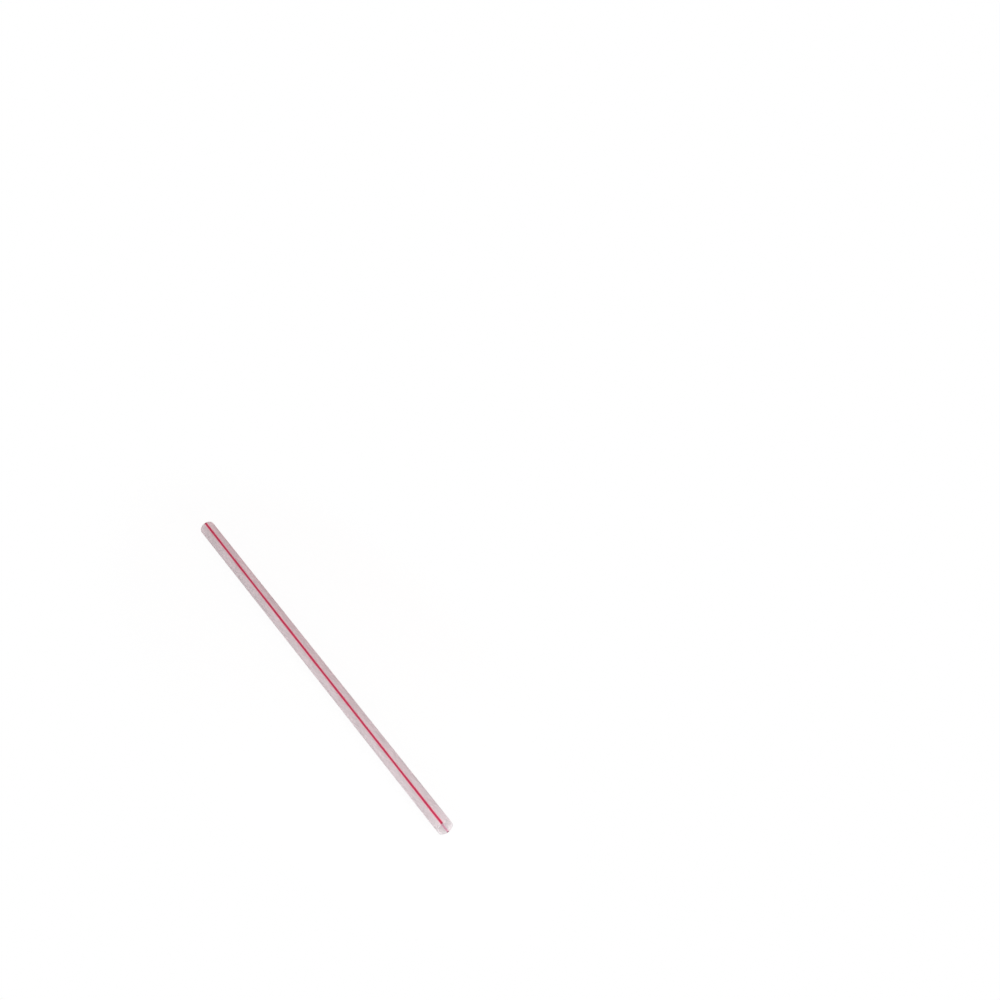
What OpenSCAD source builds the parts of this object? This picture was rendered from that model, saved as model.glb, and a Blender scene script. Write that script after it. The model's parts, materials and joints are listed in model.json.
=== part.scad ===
// Plastic drinking straw with two stripes, lying on its side
//
// The straw is one piece. A thin tube of milky plastic leaves a round die, two
// narrow streams of red plastic join its wall on opposite sides, and a knife
// cuts it square at both ends. The red plastic fills the outer half of the
// wall and stands out of it by a hair.
//
// The straw lies along X on the plane Z = 0, with the origin under its middle.
// The +X end is the mouth that faces the viewer, who stands on the -Y side.

/* [Tube] */
// Length from cut to cut
straw_length = 197; // [60:1:400]
// Outer diameter of the tube
outer_d = 6; // [4:0.1:14]
// Thickness of the wall
wall = 0.15; // [0.1:0.01:0.4]

/* [Stripes] */
// Number of stripes, evenly spread round the tube
stripe_count = 2; // [1:1:6]
// Width of a stripe
stripe_width = 0.75; // [0.3:0.05:1.5]
// How far a stripe stands out of the wall
stripe_rise = 0.02; // [0.01:0.01:0.05]
// Turn of the first stripe from the top of the tube towards the viewer's side
stripe_turn = 19; // [-60:1:60]

/* [Hidden] */

$fn = 120;

outer_r = outer_d / 2;
bore_r = outer_r - wall;
stripe_floor_r = (outer_r + bore_r) / 2;
stripe_crown_r = outer_r + stripe_rise;

milky_plastic = [0.82, 0.75, 0.77];
red_plastic = [0.74, 0.20, 0.31];

// A ring of the section, between two radii
module ring(inner_r, ring_r) {
    difference() {
        circle(r = ring_r);
        circle(r = inner_r);
    }
}

// The section of every stripe, from its floor inside the wall to its crown
module stripe_section() {
    for (i = [0 : stripe_count - 1])
        rotate(stripe_turn + i * 360 / stripe_count)
            intersection() {
                ring(stripe_floor_r, stripe_crown_r);
                translate([-stripe_width / 2, 0])
                    square([stripe_width, outer_d]);
            }
}

// The section of the milky wall, with the stripes' places left out
module wall_section() {
    difference() {
        ring(bore_r, outer_r);
        stripe_section();
    }
}

// A section, drawn in Y and Z round the tube's axis, drawn out along X
module drawn_out() {
    translate([-straw_length / 2, 0, outer_r])
        rotate([90, 0, 90])
            linear_extrude(straw_length)
                children();
}

module straw() {
    color(milky_plastic) drawn_out() wall_section();
    color(red_plastic) drawn_out() stripe_section();
}

straw();
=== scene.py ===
# %% [markdown]
# # A striped drinking straw
#
# The straw is one piece of plastic: a thin milky tube with two red stripes melted into its wall. The
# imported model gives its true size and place, and this script gives it its looks. The frame is the
# model's own, in metres: the straw lies along X on the plane Z = 0, and its +X end is the mouth that
# faces the camera.
#
# The steps follow a studio's order: load the model, place the camera, lay the table, set the lamps and
# a card, mix the plastic, draw the tube, and hand it all over to the frame.

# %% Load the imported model
import json
import math

import bpy
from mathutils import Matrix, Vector


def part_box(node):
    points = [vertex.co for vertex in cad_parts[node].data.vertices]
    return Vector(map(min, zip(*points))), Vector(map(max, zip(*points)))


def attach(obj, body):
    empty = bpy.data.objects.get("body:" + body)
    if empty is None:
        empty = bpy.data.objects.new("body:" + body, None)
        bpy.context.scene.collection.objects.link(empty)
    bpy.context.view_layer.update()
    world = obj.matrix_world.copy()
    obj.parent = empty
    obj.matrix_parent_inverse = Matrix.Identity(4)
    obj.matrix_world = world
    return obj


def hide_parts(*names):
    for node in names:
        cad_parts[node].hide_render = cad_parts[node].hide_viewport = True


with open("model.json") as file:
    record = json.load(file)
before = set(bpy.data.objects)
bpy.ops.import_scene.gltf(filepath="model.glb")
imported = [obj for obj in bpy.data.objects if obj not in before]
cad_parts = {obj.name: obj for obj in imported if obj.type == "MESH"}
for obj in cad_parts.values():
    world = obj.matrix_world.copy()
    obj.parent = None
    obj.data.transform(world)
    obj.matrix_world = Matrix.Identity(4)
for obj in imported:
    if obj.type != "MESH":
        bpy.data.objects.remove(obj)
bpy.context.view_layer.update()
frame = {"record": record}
MM = 0.001

# %% [markdown]
# ## The straw's own sizes
#
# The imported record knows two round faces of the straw: the outside, which passes through a lid, and
# the bore, which the drink runs through. Their radii and the box of the node give every size of the
# tube, so nothing is measured twice. The stripe's sizes are real sizes, as a maker would state them.
#
# A real stripe is never quite straight, because the hot tube turns a little as it is pulled out of the
# die. So the stripe drifts round the tube from one end to the other, and sways a little in between.
# Both angles are small, and it takes a ruler laid along the straw to see them.

# %% Read the tube's sizes, and state the stripe's
round_faces = {mount["name"]: mount["dims"] for mount in frame["record"]["mounts"]}
OUTER_RADIUS = round_faces["outside"]["r_mm"] * MM
WALL = OUTER_RADIUS - round_faces["bore"]["r_mm"] * MM

far_corner, near_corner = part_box("straw")
LENGTH = near_corner.x - far_corner.x

STRIPE_COUNT = 2
STRIPE_WIDTH = 0.75 * MM
STRIPE_RISE = 0.02 * MM
STRIPE_TURN = math.radians(19)
STRIPE_DRIFT = math.radians(9)
STRIPE_SWAY = math.radians(1.5)

print(f"tube: {LENGTH / MM:.1f} mm long, {2 * OUTER_RADIUS / MM:.2f} mm across, wall {WALL / MM:.2f} mm")

# %% [markdown]
# ## The camera
#
# A photograph of a long thin thing says much about its camera: how fast the tube tapers gives the
# distance, and how open its round mouth looks gives the height. Here the camera looks down at 37
# degrees through a long lens, from about 0.93 metres away, and across the straw from its mouth's side.
# It aims at a spot on the table beyond the straw, so the straw lies at the lower left of the picture.
# The camera could be parented to an empty and tracked, but a point, two angles and a distance say the
# same and read better.

# %% Place the camera
LENS = 80.0
SENSOR = 36.0
CAMERA_PITCH = math.radians(37.42)
CAMERA_TURN = math.radians(59.30)
CAMERA_DISTANCE = 929.4 * MM
AIM = Vector((-56.9, 114.5, 0.0)) * MM

look = Vector(
    (
        -math.sin(CAMERA_TURN) * math.cos(CAMERA_PITCH),
        math.cos(CAMERA_TURN) * math.cos(CAMERA_PITCH),
        -math.sin(CAMERA_PITCH),
    )
)
camera_data = bpy.data.cameras.new("camera")
camera_data.lens = LENS
camera_data.sensor_width = SENSOR
camera = bpy.data.objects.new("camera", camera_data)
camera.location = AIM - look * CAMERA_DISTANCE
camera.rotation_euler = look.to_track_quat("-Z", "Y").to_euler()
bpy.context.scene.collection.objects.link(camera)
bpy.context.scene.camera = camera
print("camera at", [round(value / MM, 1) for value in camera.location], "mm")

# %% [markdown]
# ## Helpers for node trees
#
# A material and a Geometry Nodes tree are both node trees, so the same small helpers build both. One
# adds a node and sets its options, one joins two sockets, and one adds a Math node and joins or sets
# its inputs in one go, because most of the rules on this straw are short sums. The helpers of the
# second cell are for materials alone: they mix colours and surfaces, and close a material.


# %% Build nodes with few words
def add_node(tree, kind, **options):
    node = tree.nodes.new(kind)
    for name, value in options.items():
        setattr(node, name, value)
    return node


def feed(tree, socket, value):
    """Joins an output to the input socket, or sets the socket to a plain value."""
    if isinstance(value, bpy.types.NodeSocket):
        tree.links.new(value, socket)
    else:
        socket.default_value = value


def math_node(tree, operation, *values):
    node = add_node(tree, "ShaderNodeMath", operation=operation)
    for socket, value in zip(node.inputs, values):
        feed(tree, socket, value)
    return node.outputs[0]


def ramp_between(tree, value, start, end, start_value=0.0, end_value=1.0):
    """A smooth step from start_value to end_value as the value goes from start to end."""
    node = add_node(tree, "ShaderNodeMapRange", interpolation_type="SMOOTHSTEP")
    for name, number in (
        ("Value", value),
        ("From Min", start),
        ("From Max", end),
        ("To Min", start_value),
        ("To Max", end_value),
    ):
        feed(tree, node.inputs[name], number)
    return node.outputs["Result"]


# %% Build materials with few words
def new_material(name):
    material = bpy.data.materials.new(name)
    material.use_nodes = True
    material.node_tree.nodes.clear()
    return material


def scaled_place(tree, x, y, z):
    """Each point's place on its object, multiplied by one number along each axis."""
    place = add_node(tree, "ShaderNodeTexCoord").outputs["Object"]
    mapping = add_node(tree, "ShaderNodeMapping")
    feed(tree, mapping.inputs["Vector"], place)
    mapping.inputs["Scale"].default_value = (x, y, z)
    return mapping.outputs[0]


def blend_colours(tree, share, first, second):
    node = add_node(tree, "ShaderNodeMix", data_type="RGBA")
    feed(tree, node.inputs["Factor"], share)
    feed(tree, node.inputs[6], first)
    feed(tree, node.inputs[7], second)
    return node.outputs[2]


def matt_paint(tree, colour):
    node = add_node(tree, "ShaderNodeBsdfDiffuse")
    feed(tree, node.inputs["Color"], colour)
    return node.outputs[0]


def mix_surfaces(tree, share, first, second):
    node = add_node(tree, "ShaderNodeMixShader")
    feed(tree, node.inputs["Fac"], share)
    feed(tree, node.inputs[1], first)
    feed(tree, node.inputs[2], second)
    return node.outputs[0]


def close_material(material, surface):
    output = add_node(material.node_tree, "ShaderNodeOutputMaterial")
    feed(material.node_tree, output.inputs["Surface"], surface)
    return material


# %% [markdown]
# ## The table and the world
#
# The straw was pictured on a plain white ground that the camera sees as pure white. Stronger lamps
# would give that white, but they would also wash out the milky plastic. So the table answers two
# questions apart. To light that bounces on to the straw it is plain pale paint. To the camera, and to
# what shows in a gloss, it is a steady glow of strength 1, which is white. Round the straw a small share
# of lit paint stays in that glow and keeps the straw's faint shadow. The share fades out before it
# reaches the studio's other things, so none of them leaves a mark on the white. The world answers the
# two questions in the same way, so the view has no horizon.

# %% Lay the table
TABLE_SIZE = 8.0
TABLE_PAINT = (0.92, 0.92, 0.92, 1.0)
WHITE = (1.0, 1.0, 1.0, 1.0)
SHADOW_SHARE = 0.06
SHADOW_REACH_X = 0.16
SHADOW_REACH_Y = 0.07
SHADOW_FADES_FROM = 0.7


def camera_sees(tree):
    """1 for rays from the camera and for those that show the ground in a gloss."""
    rays = add_node(tree, "ShaderNodeLightPath").outputs
    return math_node(tree, "MAXIMUM", rays["Is Camera Ray"], rays["Is Glossy Ray"])


def shadow_share(tree):
    """The share of lit paint: whole round the straw, and nothing outside an oval on the table."""
    squeezed = scaled_place(tree, 1 / SHADOW_REACH_X, 1 / SHADOW_REACH_Y, 1.0)
    from_middle = add_node(tree, "ShaderNodeVectorMath", operation="LENGTH")
    feed(tree, from_middle.inputs[0], squeezed)
    reach = from_middle.outputs["Value"]
    return ramp_between(tree, reach, SHADOW_FADES_FROM, 1.0, SHADOW_SHARE, 0.0)


def table_white():
    material = new_material("table_white")
    tree = material.node_tree
    seen = camera_sees(tree)
    paint = matt_paint(tree, blend_colours(tree, seen, TABLE_PAINT, WHITE))
    glow = add_node(tree, "ShaderNodeEmission")
    feed(tree, glow.inputs["Strength"], 1.0)
    glow_share = math_node(tree, "SUBTRACT", 1.0, shadow_share(tree))
    share = math_node(tree, "MULTIPLY", seen, glow_share)
    return close_material(material, mix_surfaces(tree, share, paint, glow.outputs[0]))


def flat_sheet(name, corners, material):
    """A flat four-cornered sheet that belongs to the studio and not to the straw."""
    mesh = bpy.data.meshes.new(name)
    mesh.from_pydata(corners, [], [(0, 1, 2, 3)])
    mesh.materials.append(material)
    sheet = bpy.data.objects.new(name, mesh)
    bpy.context.scene.collection.objects.link(sheet)
    return sheet


half = TABLE_SIZE / 2
table_corners = [(-half, -half, 0), (half, -half, 0), (half, half, 0), (-half, half, 0)]
flat_sheet("table", table_corners, table_white())
print("table laid,", TABLE_SIZE, "metres square")

# %% Light the room evenly
ROOM_LIGHT = 0.66

world = bpy.data.worlds.new("studio")
world.use_nodes = True
room = world.node_tree
room.nodes.clear()
room_glow = add_node(room, "ShaderNodeBackground")
room_white = camera_sees(room)
feed(room, room_glow.inputs["Color"], WHITE)
feed(room, room_glow.inputs["Strength"], ramp_between(room, room_white, 0.0, 1.0, ROOM_LIGHT, 1.0))
room_output = add_node(room, "ShaderNodeOutputWorld")
feed(room, room_output.inputs["Surface"], room_glow.outputs[0])
bpy.context.scene.world = world
bpy.context.scene.view_settings.view_transform = "Standard"
print("room light is", ROOM_LIGHT, "of white")

# %% [markdown]
# ## The lamps
#
# Three soft boxes join the even light of the room. A wide one hangs high over the table. A small one
# stands low in front of the mouth and shines into it, because the mouth is the lightest part of the
# straw in the photograph. The third stands low on the viewer's side and lifts that flank. An area lamp
# gives soft light without noise, which a small bright lamp behind a modelled cloth would not.


# %% Hang the soft boxes
def soft_box(name, place, target, size, power):
    lamp = bpy.data.lights.new(name, "AREA")
    lamp.shape = "SQUARE"
    lamp.size = size
    lamp.energy = power
    box = bpy.data.objects.new(name, lamp)
    box.location = place
    box.rotation_euler = (Vector(target) - Vector(place)).to_track_quat("-Z", "Y").to_euler()
    bpy.context.scene.collection.objects.link(box)
    print(name, "lamp,", power, "watts")


soft_box("overhead_box", place=(0.3, 0.35, 1.2), target=(0.05, 0.0, 0.0), size=1.2, power=2.2)
soft_box("mouth_box", place=(0.34, 0.01, 0.11), target=(0.095, 0.0, 0.003), size=0.15, power=0.5)
soft_box("side_box", place=(0.1, -0.3, 0.07), target=(0.07, 0.0, 0.0), size=0.3, power=0.5)

# %% [markdown]
# ## The rosy card
#
# The far half of the straw is darker and pinker than the near half, most of all on the flank away from
# the viewer. A change of colour painted into the plastic would give that as well, but it would stay on
# the straw in any other light. A photographer stands a coloured card beside the thing instead: it keeps
# some of the room's light off and sends a little of its own colour back. The camera doesn't see this
# card, so only what it does to the straw shows.

# %% Stand the rosy card behind the straw
CARD_PINK = (0.98, 0.64, 0.66, 1.0)
CARD_FAR_X = -0.26
CARD_NEAR_X = 0.04
CARD_Y = 0.09
CARD_HEIGHT = 0.20

card_pink = new_material("card_pink")
close_material(card_pink, matt_paint(card_pink.node_tree, CARD_PINK))
card_corners = [
    (CARD_FAR_X, CARD_Y, 0),
    (CARD_NEAR_X, CARD_Y, 0),
    (CARD_NEAR_X, CARD_Y, CARD_HEIGHT),
    (CARD_FAR_X, CARD_Y, CARD_HEIGHT),
]
rosy_card = flat_sheet("rosy_card", card_corners, card_pink)
rosy_card.visible_camera = False
print("rosy card stands", CARD_Y / MM, "mm behind the straw")

# %% [markdown]
# ## The colours of the plastic
#
# The stripes are not painted on. The tube's own mesh stores three measures at each point: how far it
# is from the middle of the nearest stripe, how deep in the wall, and how far from the nearest cut. The
# material turns them into colour, so the pattern stays on the plastic however the piece is turned. An
# image wrapped round the tube would blur close up, and three measures stay crisp at any distance.
#
# The red is crisp but not sharp. Its edge wanders by a few hundredths of a millimetre, some of it runs
# into the milk beside it, and a cut end shows it darkest. Inside the tube the milk lies over it, so it
# is paler there. The milk of the inner skin is painted lighter than that of the outer skin: painted
# light, for the glow in the open mouth. Faint clouds and fine streaks, drawn out along the tube, keep
# the milk from looking like paint.


# %% Draw the marks that the die leaves
def drawn_noise(tree, along, around, detail):
    """Noise drawn out along the tube: features per millimetre along it and around it."""
    noise = add_node(tree, "ShaderNodeTexNoise")
    feed(tree, noise.inputs["Vector"], scaled_place(tree, along / MM, around / MM, around / MM))
    noise.inputs["Scale"].default_value = 1.0
    noise.inputs["Detail"].default_value = detail
    return noise.outputs["Fac"]


def spread(tree, noise, low, high, band=0.2):
    """Spreads the middle band of a noise, where most of it lies, from low to high."""
    return ramp_between(tree, noise, 0.5 - band, 0.5 + band, low, high)


# %% Tell skins, cuts and stripes apart
INNER_SKIN_FROM = 0.75
INNER_SKIN_WHOLE = 0.95
CUT_TINT_WHOLE = 0.1 * MM
CUT_TINT_REACH = 0.4 * MM
STRIPE_BLUR = 0.04 * MM
STRIPE_WANDER = 0.03 * MM
BLEED_REACH = 0.4 * MM
BLEED_SHARE = 0.85


def stored(tree, name):
    """A measure that the tube's own mesh stores at each point."""
    return add_node(tree, "ShaderNodeAttribute", attribute_name=name).outputs["Fac"]


def wall_shares(tree):
    """How far a point belongs to the inner skin, and how far to a cut."""
    inside = ramp_between(tree, stored(tree, "wall_depth"), INNER_SKIN_FROM, INNER_SKIN_WHOLE)
    to_cut = stored(tree, "cut_distance")
    on_cut = ramp_between(tree, to_cut, CUT_TINT_WHOLE, CUT_TINT_REACH, 1.0, 0.0)
    return inside, on_cut


def stripe_shares(tree, inside):
    """How far a point belongs to a stripe, and how far the red bleeds into it on the outer skin."""
    wander = drawn_noise(tree, along=0.05, around=0.1, detail=1.0)
    edge_moves = spread(tree, wander, -STRIPE_WANDER, STRIPE_WANDER)
    off_stripe = math_node(tree, "ADD", stored(tree, "stripe_distance"), edge_moves)
    edge = STRIPE_WIDTH / 2
    stripe = ramp_between(tree, off_stripe, edge - STRIPE_BLUR, edge + STRIPE_BLUR, 1.0, 0.0)
    bleed = ramp_between(tree, off_stripe, edge, edge + BLEED_REACH, BLEED_SHARE, 0.0)
    outside = math_node(tree, "SUBTRACT", 1.0, inside)
    return stripe, math_node(tree, "MULTIPLY", bleed, outside)


# %% Colour the milk and the red
MILKY = (0.89, 0.838, 0.85, 1.0)
# The inner skin's milk is painted lighter than the outer milk: painted light, for the glow in the open
# mouth.
MILKY_INSIDE_PAINTED_LIGHT = (1.0, 0.99, 0.995, 1.0)
MILKY_CUT = (0.88, 0.865, 0.87, 1.0)
RED = (0.66, 0.046, 0.13, 1.0)
RED_INSIDE = (0.87, 0.53, 0.67, 1.0)
RED_CUT = (0.30, 0.020, 0.055, 1.0)
PINK_BLEED = (1.0, 0.66, 0.71, 1.0)
CLOUD_DARKEST = 0.94
STREAK_DARKEST = 0.96


def milk_tone(tree, streaks):
    """How bright the milk is, from 1 down to the darkest cloud and streak."""
    clouds = drawn_noise(tree, along=0.06, around=0.5, detail=2.0)
    cloudy = spread(tree, clouds, CLOUD_DARKEST, 1.0, band=0.25)
    return math_node(tree, "MULTIPLY", cloudy, spread(tree, streaks, STREAK_DARKEST, 1.0))


def milk_colour(tree, inside, on_cut, bleed, streaks):
    # Painted light: the inner skin takes a lighter milk than the outer one, so the open mouth glows.
    milk = blend_colours(tree, inside, MILKY, MILKY_INSIDE_PAINTED_LIGHT)
    milk = blend_colours(tree, on_cut, milk, MILKY_CUT)
    shade = add_node(tree, "ShaderNodeVectorMath", operation="SCALE")
    feed(tree, shade.inputs[0], milk)
    feed(tree, shade.inputs["Scale"], milk_tone(tree, streaks))
    return blend_colours(tree, bleed, shade.outputs[0], PINK_BLEED)


def red_colour(tree, inside, on_cut):
    red = blend_colours(tree, inside, RED, RED_INSIDE)
    return blend_colours(tree, on_cut, red, RED_CUT)


print("milk", MILKY[:3], "and red", RED[:3])

# %% [markdown]
# ## Light in milky plastic
#
# Real polypropylene of this kind is milky: light goes a little way in, is scattered, and comes out on
# either side of the wall. A glass shader would be far too clear, and a plain coloured one too solid.
# Here a satin surface is mixed with a translucent one, and the share of the second says how much light
# goes on through a skin. It is high on the outside, so the tube glows a little from within, and lower
# inside, so the open mouth stays lighter than the outside; the lighter inner milk, which is painted
# light, adds to that. Red pigment stops light, so the stripes pass less of it than the milk does.
#
# The die draws fine lines along the surface. They are a hundredth of a millimetre high, so they are a
# bump and not geometry, and the same streaks make the gloss a little uneven.

# %% Give the plastic its surface
SMOOTHEST = 0.32
ROUGHEST = 0.44
DIE_LINE_HEIGHT = 0.01 * MM
DIE_LINE_STRENGTH = 0.25
POLYPROPYLENE_IOR = 1.49


def die_lines(tree, streaks):
    bump = add_node(tree, "ShaderNodeBump")
    bump.inputs["Strength"].default_value = DIE_LINE_STRENGTH
    bump.inputs["Distance"].default_value = DIE_LINE_HEIGHT
    feed(tree, bump.inputs["Height"], streaks)
    return bump.outputs[0]


def satin_skin(tree, colour, lines, streaks):
    skin = add_node(tree, "ShaderNodeBsdfPrincipled")
    feed(tree, skin.inputs["Base Color"], colour)
    feed(tree, skin.inputs["Roughness"], spread(tree, streaks, SMOOTHEST, ROUGHEST))
    feed(tree, skin.inputs["Normal"], lines)
    skin.inputs["IOR"].default_value = POLYPROPYLENE_IOR
    return skin.outputs[0]


# %% Let light through the wall
MILK_THROUGH = 0.8
MILK_INSIDE_THROUGH = 0.35
RED_THROUGH = 0.5
RED_INSIDE_THROUGH = 0.3


def scattered_light(tree, colour, lines):
    glow = add_node(tree, "ShaderNodeBsdfTranslucent")
    feed(tree, glow.inputs["Color"], colour)
    feed(tree, glow.inputs["Normal"], lines)
    return glow.outputs[0]


def share_through(tree, inside, stripe):
    """The share of light that goes on through a skin, for milk and red and for both skins."""
    milk_through = ramp_between(tree, inside, 0.0, 1.0, MILK_THROUGH, MILK_INSIDE_THROUGH)
    red_through = ramp_between(tree, inside, 0.0, 1.0, RED_THROUGH, RED_INSIDE_THROUGH)
    through = add_node(tree, "ShaderNodeMix", data_type="FLOAT")
    feed(tree, through.inputs["Factor"], stripe)
    feed(tree, through.inputs[2], milk_through)
    feed(tree, through.inputs[3], red_through)
    return through.outputs[0]


# %% Mix the plastic
def milky_plastic():
    material = new_material("milky_plastic")
    tree = material.node_tree
    streaks = drawn_noise(tree, along=0.03, around=4.0, detail=3.0)
    inside, on_cut = wall_shares(tree)
    stripe, bleed = stripe_shares(tree, inside)
    milk = milk_colour(tree, inside, on_cut, bleed, streaks)
    colour = blend_colours(tree, stripe, milk, red_colour(tree, inside, on_cut))

    lines = die_lines(tree, streaks)
    surface = satin_skin(tree, colour, lines, streaks)
    scattered = scattered_light(tree, colour, lines)
    share = share_through(tree, inside, stripe)
    return close_material(material, mix_surfaces(tree, share, surface, scattered))


plastic = milky_plastic()
print("plastic mixed from", len(plastic.node_tree.nodes), "nodes")

# %% [markdown]
# ## The tube
#
# A straw is extruded: soft plastic is pushed through a ring-shaped die and pulled away in a straight
# line, and a knife cuts it to length. Geometry Nodes can do the same in the same order. A line stands
# for the pull, a circle for the die, and Curve to Mesh draws the skin. Extrude Mesh gives the skin its
# wall, inwards, and Merge by Distance closes it at the cuts. Then each point measures where it is, and
# the points on a stripe are pushed out by the hair that the red plastic stands proud.
#
# Two cylinders and a Boolean would give a tube as well, but its rings and points would follow no rule,
# and a change of length or wall would mean making it again. Here each size is an input of the tree.

# %% Start a tree with named inputs
POINTS_AROUND = 240
POINTS_ALONG = 180

tree = bpy.data.node_groups.new("drawn_tube", "GeometryNodeTree")
tree.is_modifier = True
tree.interface.new_socket("Geometry", in_out="OUTPUT", socket_type="NodeSocketGeometry")
tube_inputs = {
    "Length": ("NodeSocketFloat", LENGTH),
    "Outer Radius": ("NodeSocketFloat", OUTER_RADIUS),
    "Wall": ("NodeSocketFloat", WALL),
    "Stripe Count": ("NodeSocketInt", STRIPE_COUNT),
    "Stripe Width": ("NodeSocketFloat", STRIPE_WIDTH),
    "Stripe Rise": ("NodeSocketFloat", STRIPE_RISE),
    "Stripe Turn": ("NodeSocketFloat", STRIPE_TURN),
    "Stripe Drift": ("NodeSocketFloat", STRIPE_DRIFT),
    "Stripe Sway": ("NodeSocketFloat", STRIPE_SWAY),
    "Points Around": ("NodeSocketInt", POINTS_AROUND),
    "Points Along": ("NodeSocketInt", POINTS_ALONG),
    "Plastic": ("NodeSocketMaterial", plastic),
}
socket_ids = {}
for name, (kind, value) in tube_inputs.items():
    socket = tree.interface.new_socket(name, in_out="INPUT", socket_type=kind)
    socket_ids[name] = socket.identifier
group_in = add_node(tree, "NodeGroupInput").outputs
print("tree inputs:", ", ".join(tube_inputs))

# %% Draw the skin through the die
half_length = math_node(tree, "MULTIPLY", group_in["Length"], 0.5)
far_end = add_node(tree, "ShaderNodeCombineXYZ")
feed(tree, far_end.inputs["X"], math_node(tree, "MULTIPLY", half_length, -1.0))
feed(tree, far_end.inputs["Z"], group_in["Outer Radius"])
near_end = add_node(tree, "ShaderNodeCombineXYZ")
feed(tree, near_end.inputs["X"], half_length)
feed(tree, near_end.inputs["Z"], group_in["Outer Radius"])

pull = add_node(tree, "GeometryNodeCurvePrimitiveLine")
feed(tree, pull.inputs["Start"], far_end.outputs[0])
feed(tree, pull.inputs["End"], near_end.outputs[0])
stations = add_node(tree, "GeometryNodeResampleCurve")
feed(tree, stations.inputs["Curve"], pull.outputs[0])
feed(tree, stations.inputs["Count"], group_in["Points Along"])
die = add_node(tree, "GeometryNodeCurvePrimitiveCircle", mode="RADIUS")
feed(tree, die.inputs["Resolution"], group_in["Points Around"])
feed(tree, die.inputs["Radius"], group_in["Outer Radius"])
skin = add_node(tree, "GeometryNodeCurveToMesh")
feed(tree, skin.inputs["Curve"], stations.outputs[0])
feed(tree, skin.inputs["Profile Curve"], die.outputs["Curve"])
print("skin drawn as", POINTS_ALONG, "rings of", POINTS_AROUND, "points")

# %% Give the skin its wall
WELD_DISTANCE = 0.001 * MM

inward = add_node(tree, "GeometryNodeExtrudeMesh", mode="FACES")
feed(tree, inward.inputs["Mesh"], skin.outputs[0])
feed(tree, inward.inputs["Offset Scale"], math_node(tree, "MULTIPLY", group_in["Wall"], -1.0))
feed(tree, inward.inputs["Individual"], False)
turned = add_node(tree, "GeometryNodeFlipFaces")
feed(tree, turned.inputs["Mesh"], inward.outputs["Mesh"])
both_skins = add_node(tree, "GeometryNodeJoinGeometry")
feed(tree, both_skins.inputs[0], skin.outputs[0])
feed(tree, both_skins.inputs[0], turned.outputs[0])
closed = add_node(tree, "GeometryNodeMergeByDistance")
feed(tree, closed.inputs["Geometry"], both_skins.outputs[0])
feed(tree, closed.inputs["Distance"], WELD_DISTANCE)
print(f"wall {WALL / MM:.2f} mm thick, closed at both cuts")

# %% Measure each point's place on the straw
place = add_node(tree, "ShaderNodeSeparateXYZ")
feed(tree, place.inputs[0], add_node(tree, "GeometryNodeInputPosition").outputs[0])
height = math_node(tree, "SUBTRACT", place.outputs["Z"], group_in["Outer Radius"])
viewer_side = math_node(tree, "MULTIPLY", place.outputs["Y"], -1.0)
turn = math_node(tree, "ARCTAN2", viewer_side, height)
height_squared = math_node(tree, "POWER", height, 2.0)
side_squared = math_node(tree, "POWER", viewer_side, 2.0)
radius = math_node(tree, "SQRT", math_node(tree, "ADD", height_squared, side_squared))

half_gap = math_node(tree, "DIVIDE", math.pi, group_in["Stripe Count"])
share_along = math_node(tree, "DIVIDE", place.outputs["X"], group_in["Length"])
drifted = math_node(tree, "MULTIPLY", group_in["Stripe Drift"], share_along)
from_middle = math_node(tree, "MULTIPLY", share_along, 2.0)
bowed = math_node(tree, "SUBTRACT", 1.0, math_node(tree, "POWER", from_middle, 2.0))
swayed = math_node(tree, "MULTIPLY", group_in["Stripe Sway"], bowed)
wandered = math_node(tree, "ADD", drifted, swayed)
stripe_turn = math_node(tree, "ADD", group_in["Stripe Turn"], wandered)
from_first = math_node(tree, "SUBTRACT", turn, stripe_turn)
from_nearest = math_node(tree, "WRAP", from_first, half_gap, math_node(tree, "MULTIPLY", half_gap, -1.0))
stripe_distance = math_node(
    tree, "MULTIPLY", math_node(tree, "ABSOLUTE", from_nearest), group_in["Outer Radius"]
)
wall_depth = math_node(
    tree, "DIVIDE", math_node(tree, "SUBTRACT", group_in["Outer Radius"], radius), group_in["Wall"]
)
cut_distance = math_node(tree, "SUBTRACT", half_length, math_node(tree, "ABSOLUTE", place.outputs["X"]))

measured = closed.outputs[0]
for name, value in (
    ("stripe_distance", stripe_distance),
    ("wall_depth", wall_depth),
    ("cut_distance", cut_distance),
):
    keep = add_node(tree, "GeometryNodeStoreNamedAttribute", data_type="FLOAT", domain="POINT")
    feed(tree, keep.inputs["Geometry"], measured)
    feed(tree, keep.inputs["Name"], name)
    feed(tree, keep.inputs["Value"], value)
    measured = keep.outputs[0]
    print("each point stores its", name)

# %% Push the stripes out by a hair
STRIPE_SHOULDER = 0.08 * MM
PUSH_FADES_AT = 0.5

outward = add_node(tree, "ShaderNodeCombineXYZ")
feed(tree, outward.inputs["Y"], math_node(tree, "DIVIDE", place.outputs["Y"], radius))
feed(tree, outward.inputs["Z"], math_node(tree, "DIVIDE", height, radius))
half_width = math_node(tree, "MULTIPLY", group_in["Stripe Width"], 0.5)
shoulder = math_node(tree, "SUBTRACT", half_width, STRIPE_SHOULDER)
crown = ramp_between(tree, stripe_distance, shoulder, half_width, 1.0, 0.0)
on_skin = ramp_between(tree, wall_depth, 0.0, PUSH_FADES_AT, 1.0, 0.0)
rise = math_node(tree, "MULTIPLY", group_in["Stripe Rise"], math_node(tree, "MULTIPLY", crown, on_skin))
push = add_node(tree, "ShaderNodeVectorMath", operation="SCALE")
feed(tree, push.inputs[0], outward.outputs[0])
feed(tree, push.inputs["Scale"], rise)
striped = add_node(tree, "GeometryNodeSetPosition")
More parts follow.
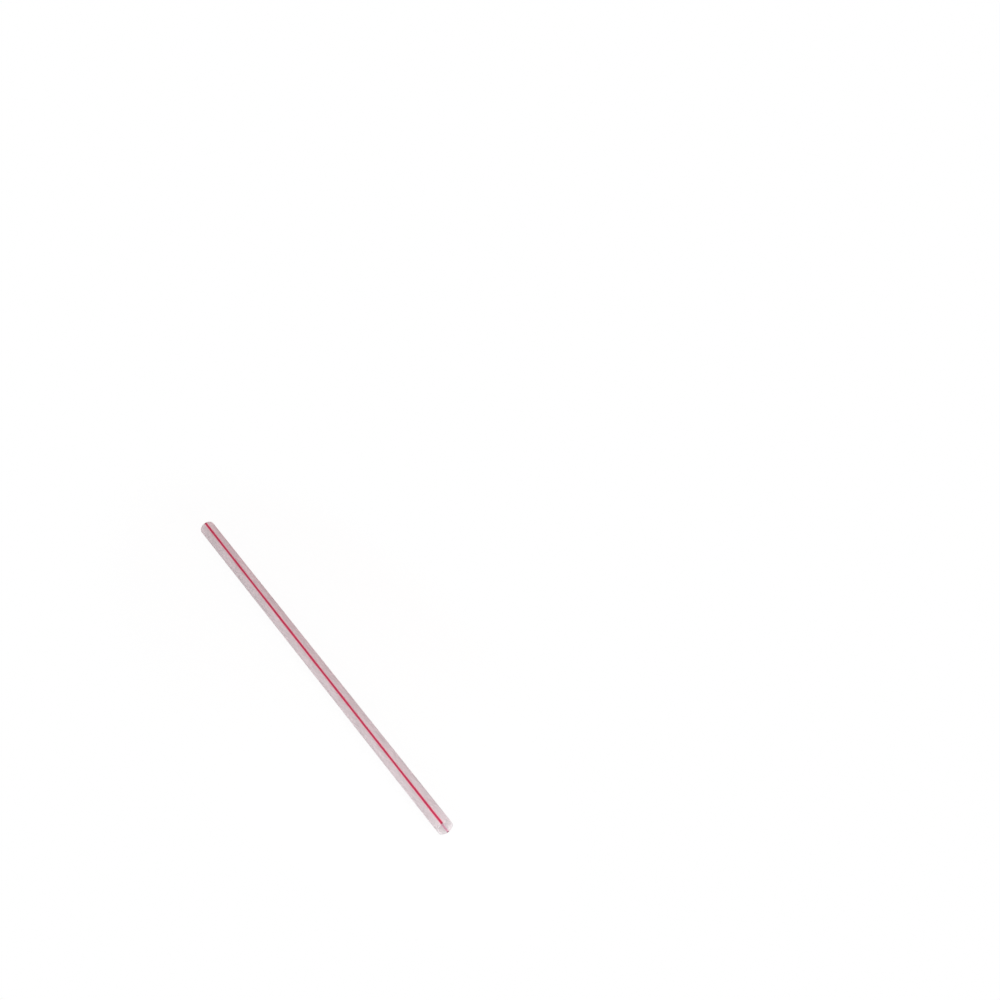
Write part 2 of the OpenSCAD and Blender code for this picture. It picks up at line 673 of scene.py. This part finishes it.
feed(tree, striped.inputs["Geometry"], measured)
feed(tree, striped.inputs["Offset"], push.outputs[0])
print(f"stripes stand {STRIPE_RISE / MM:.2f} mm proud")

# %% Finish the tree
smooth = add_node(tree, "GeometryNodeSetShadeSmooth")
feed(tree, smooth.inputs[0], striped.outputs[0])
real = add_node(tree, "GeometryNodeRealizeInstances")
feed(tree, real.inputs[0], smooth.outputs[0])
dressed = add_node(tree, "GeometryNodeSetMaterial")
feed(tree, dressed.inputs["Geometry"], real.outputs[0])
feed(tree, dressed.inputs["Material"], group_in["Plastic"])
group_out = add_node(tree, "NodeGroupOutput")
feed(tree, group_out.inputs[0], dressed.outputs[0])
print("tube tree has", len(tree.nodes), "nodes")

# %% [markdown]
# ## From the tree to a plain mesh
#
# A modifier's inputs are set by the socket's identifier before anything looks at the object. A fine
# bevel then rounds the knife's edges, because no cut in plastic is a true corner and light catches
# there. The result is taken as a plain mesh, and the modifiers are left behind with the sketch object.

# %% Draw the tube and take its mesh
CUT_ROUNDING = 0.03 * MM
ROUNDING_STEPS = 2
SHARP_FROM = math.radians(40)

sketch = bpy.data.objects.new("sketch", bpy.data.meshes.new("sketch"))
bpy.context.scene.collection.objects.link(sketch)
modifier = sketch.modifiers.new("drawn_tube", "NODES")
modifier.node_group = tree
for name, (_, value) in tube_inputs.items():
    modifier[socket_ids[name]] = value
bevel = sketch.modifiers.new("cut_edges", "BEVEL")
bevel.width = CUT_ROUNDING
bevel.segments = ROUNDING_STEPS
bevel.limit_method = "ANGLE"
bevel.angle_limit = SHARP_FROM
bevel.harden_normals = True

bpy.context.view_layer.update()
evaluated = sketch.evaluated_get(bpy.context.evaluated_depsgraph_get())
tube_mesh = bpy.data.meshes.new_from_object(evaluated)
tube_mesh.name = "striped_tube"
bpy.data.objects.remove(sketch)
striped_tube = bpy.data.objects.new("striped_tube", tube_mesh)
bpy.context.scene.collection.objects.link(striped_tube)

tube_mesh.calc_loop_triangles()
print("striped_tube has", len(tube_mesh.loop_triangles), "triangles")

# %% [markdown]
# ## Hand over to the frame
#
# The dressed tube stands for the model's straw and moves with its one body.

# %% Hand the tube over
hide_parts("straw")
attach(striped_tube, "root")
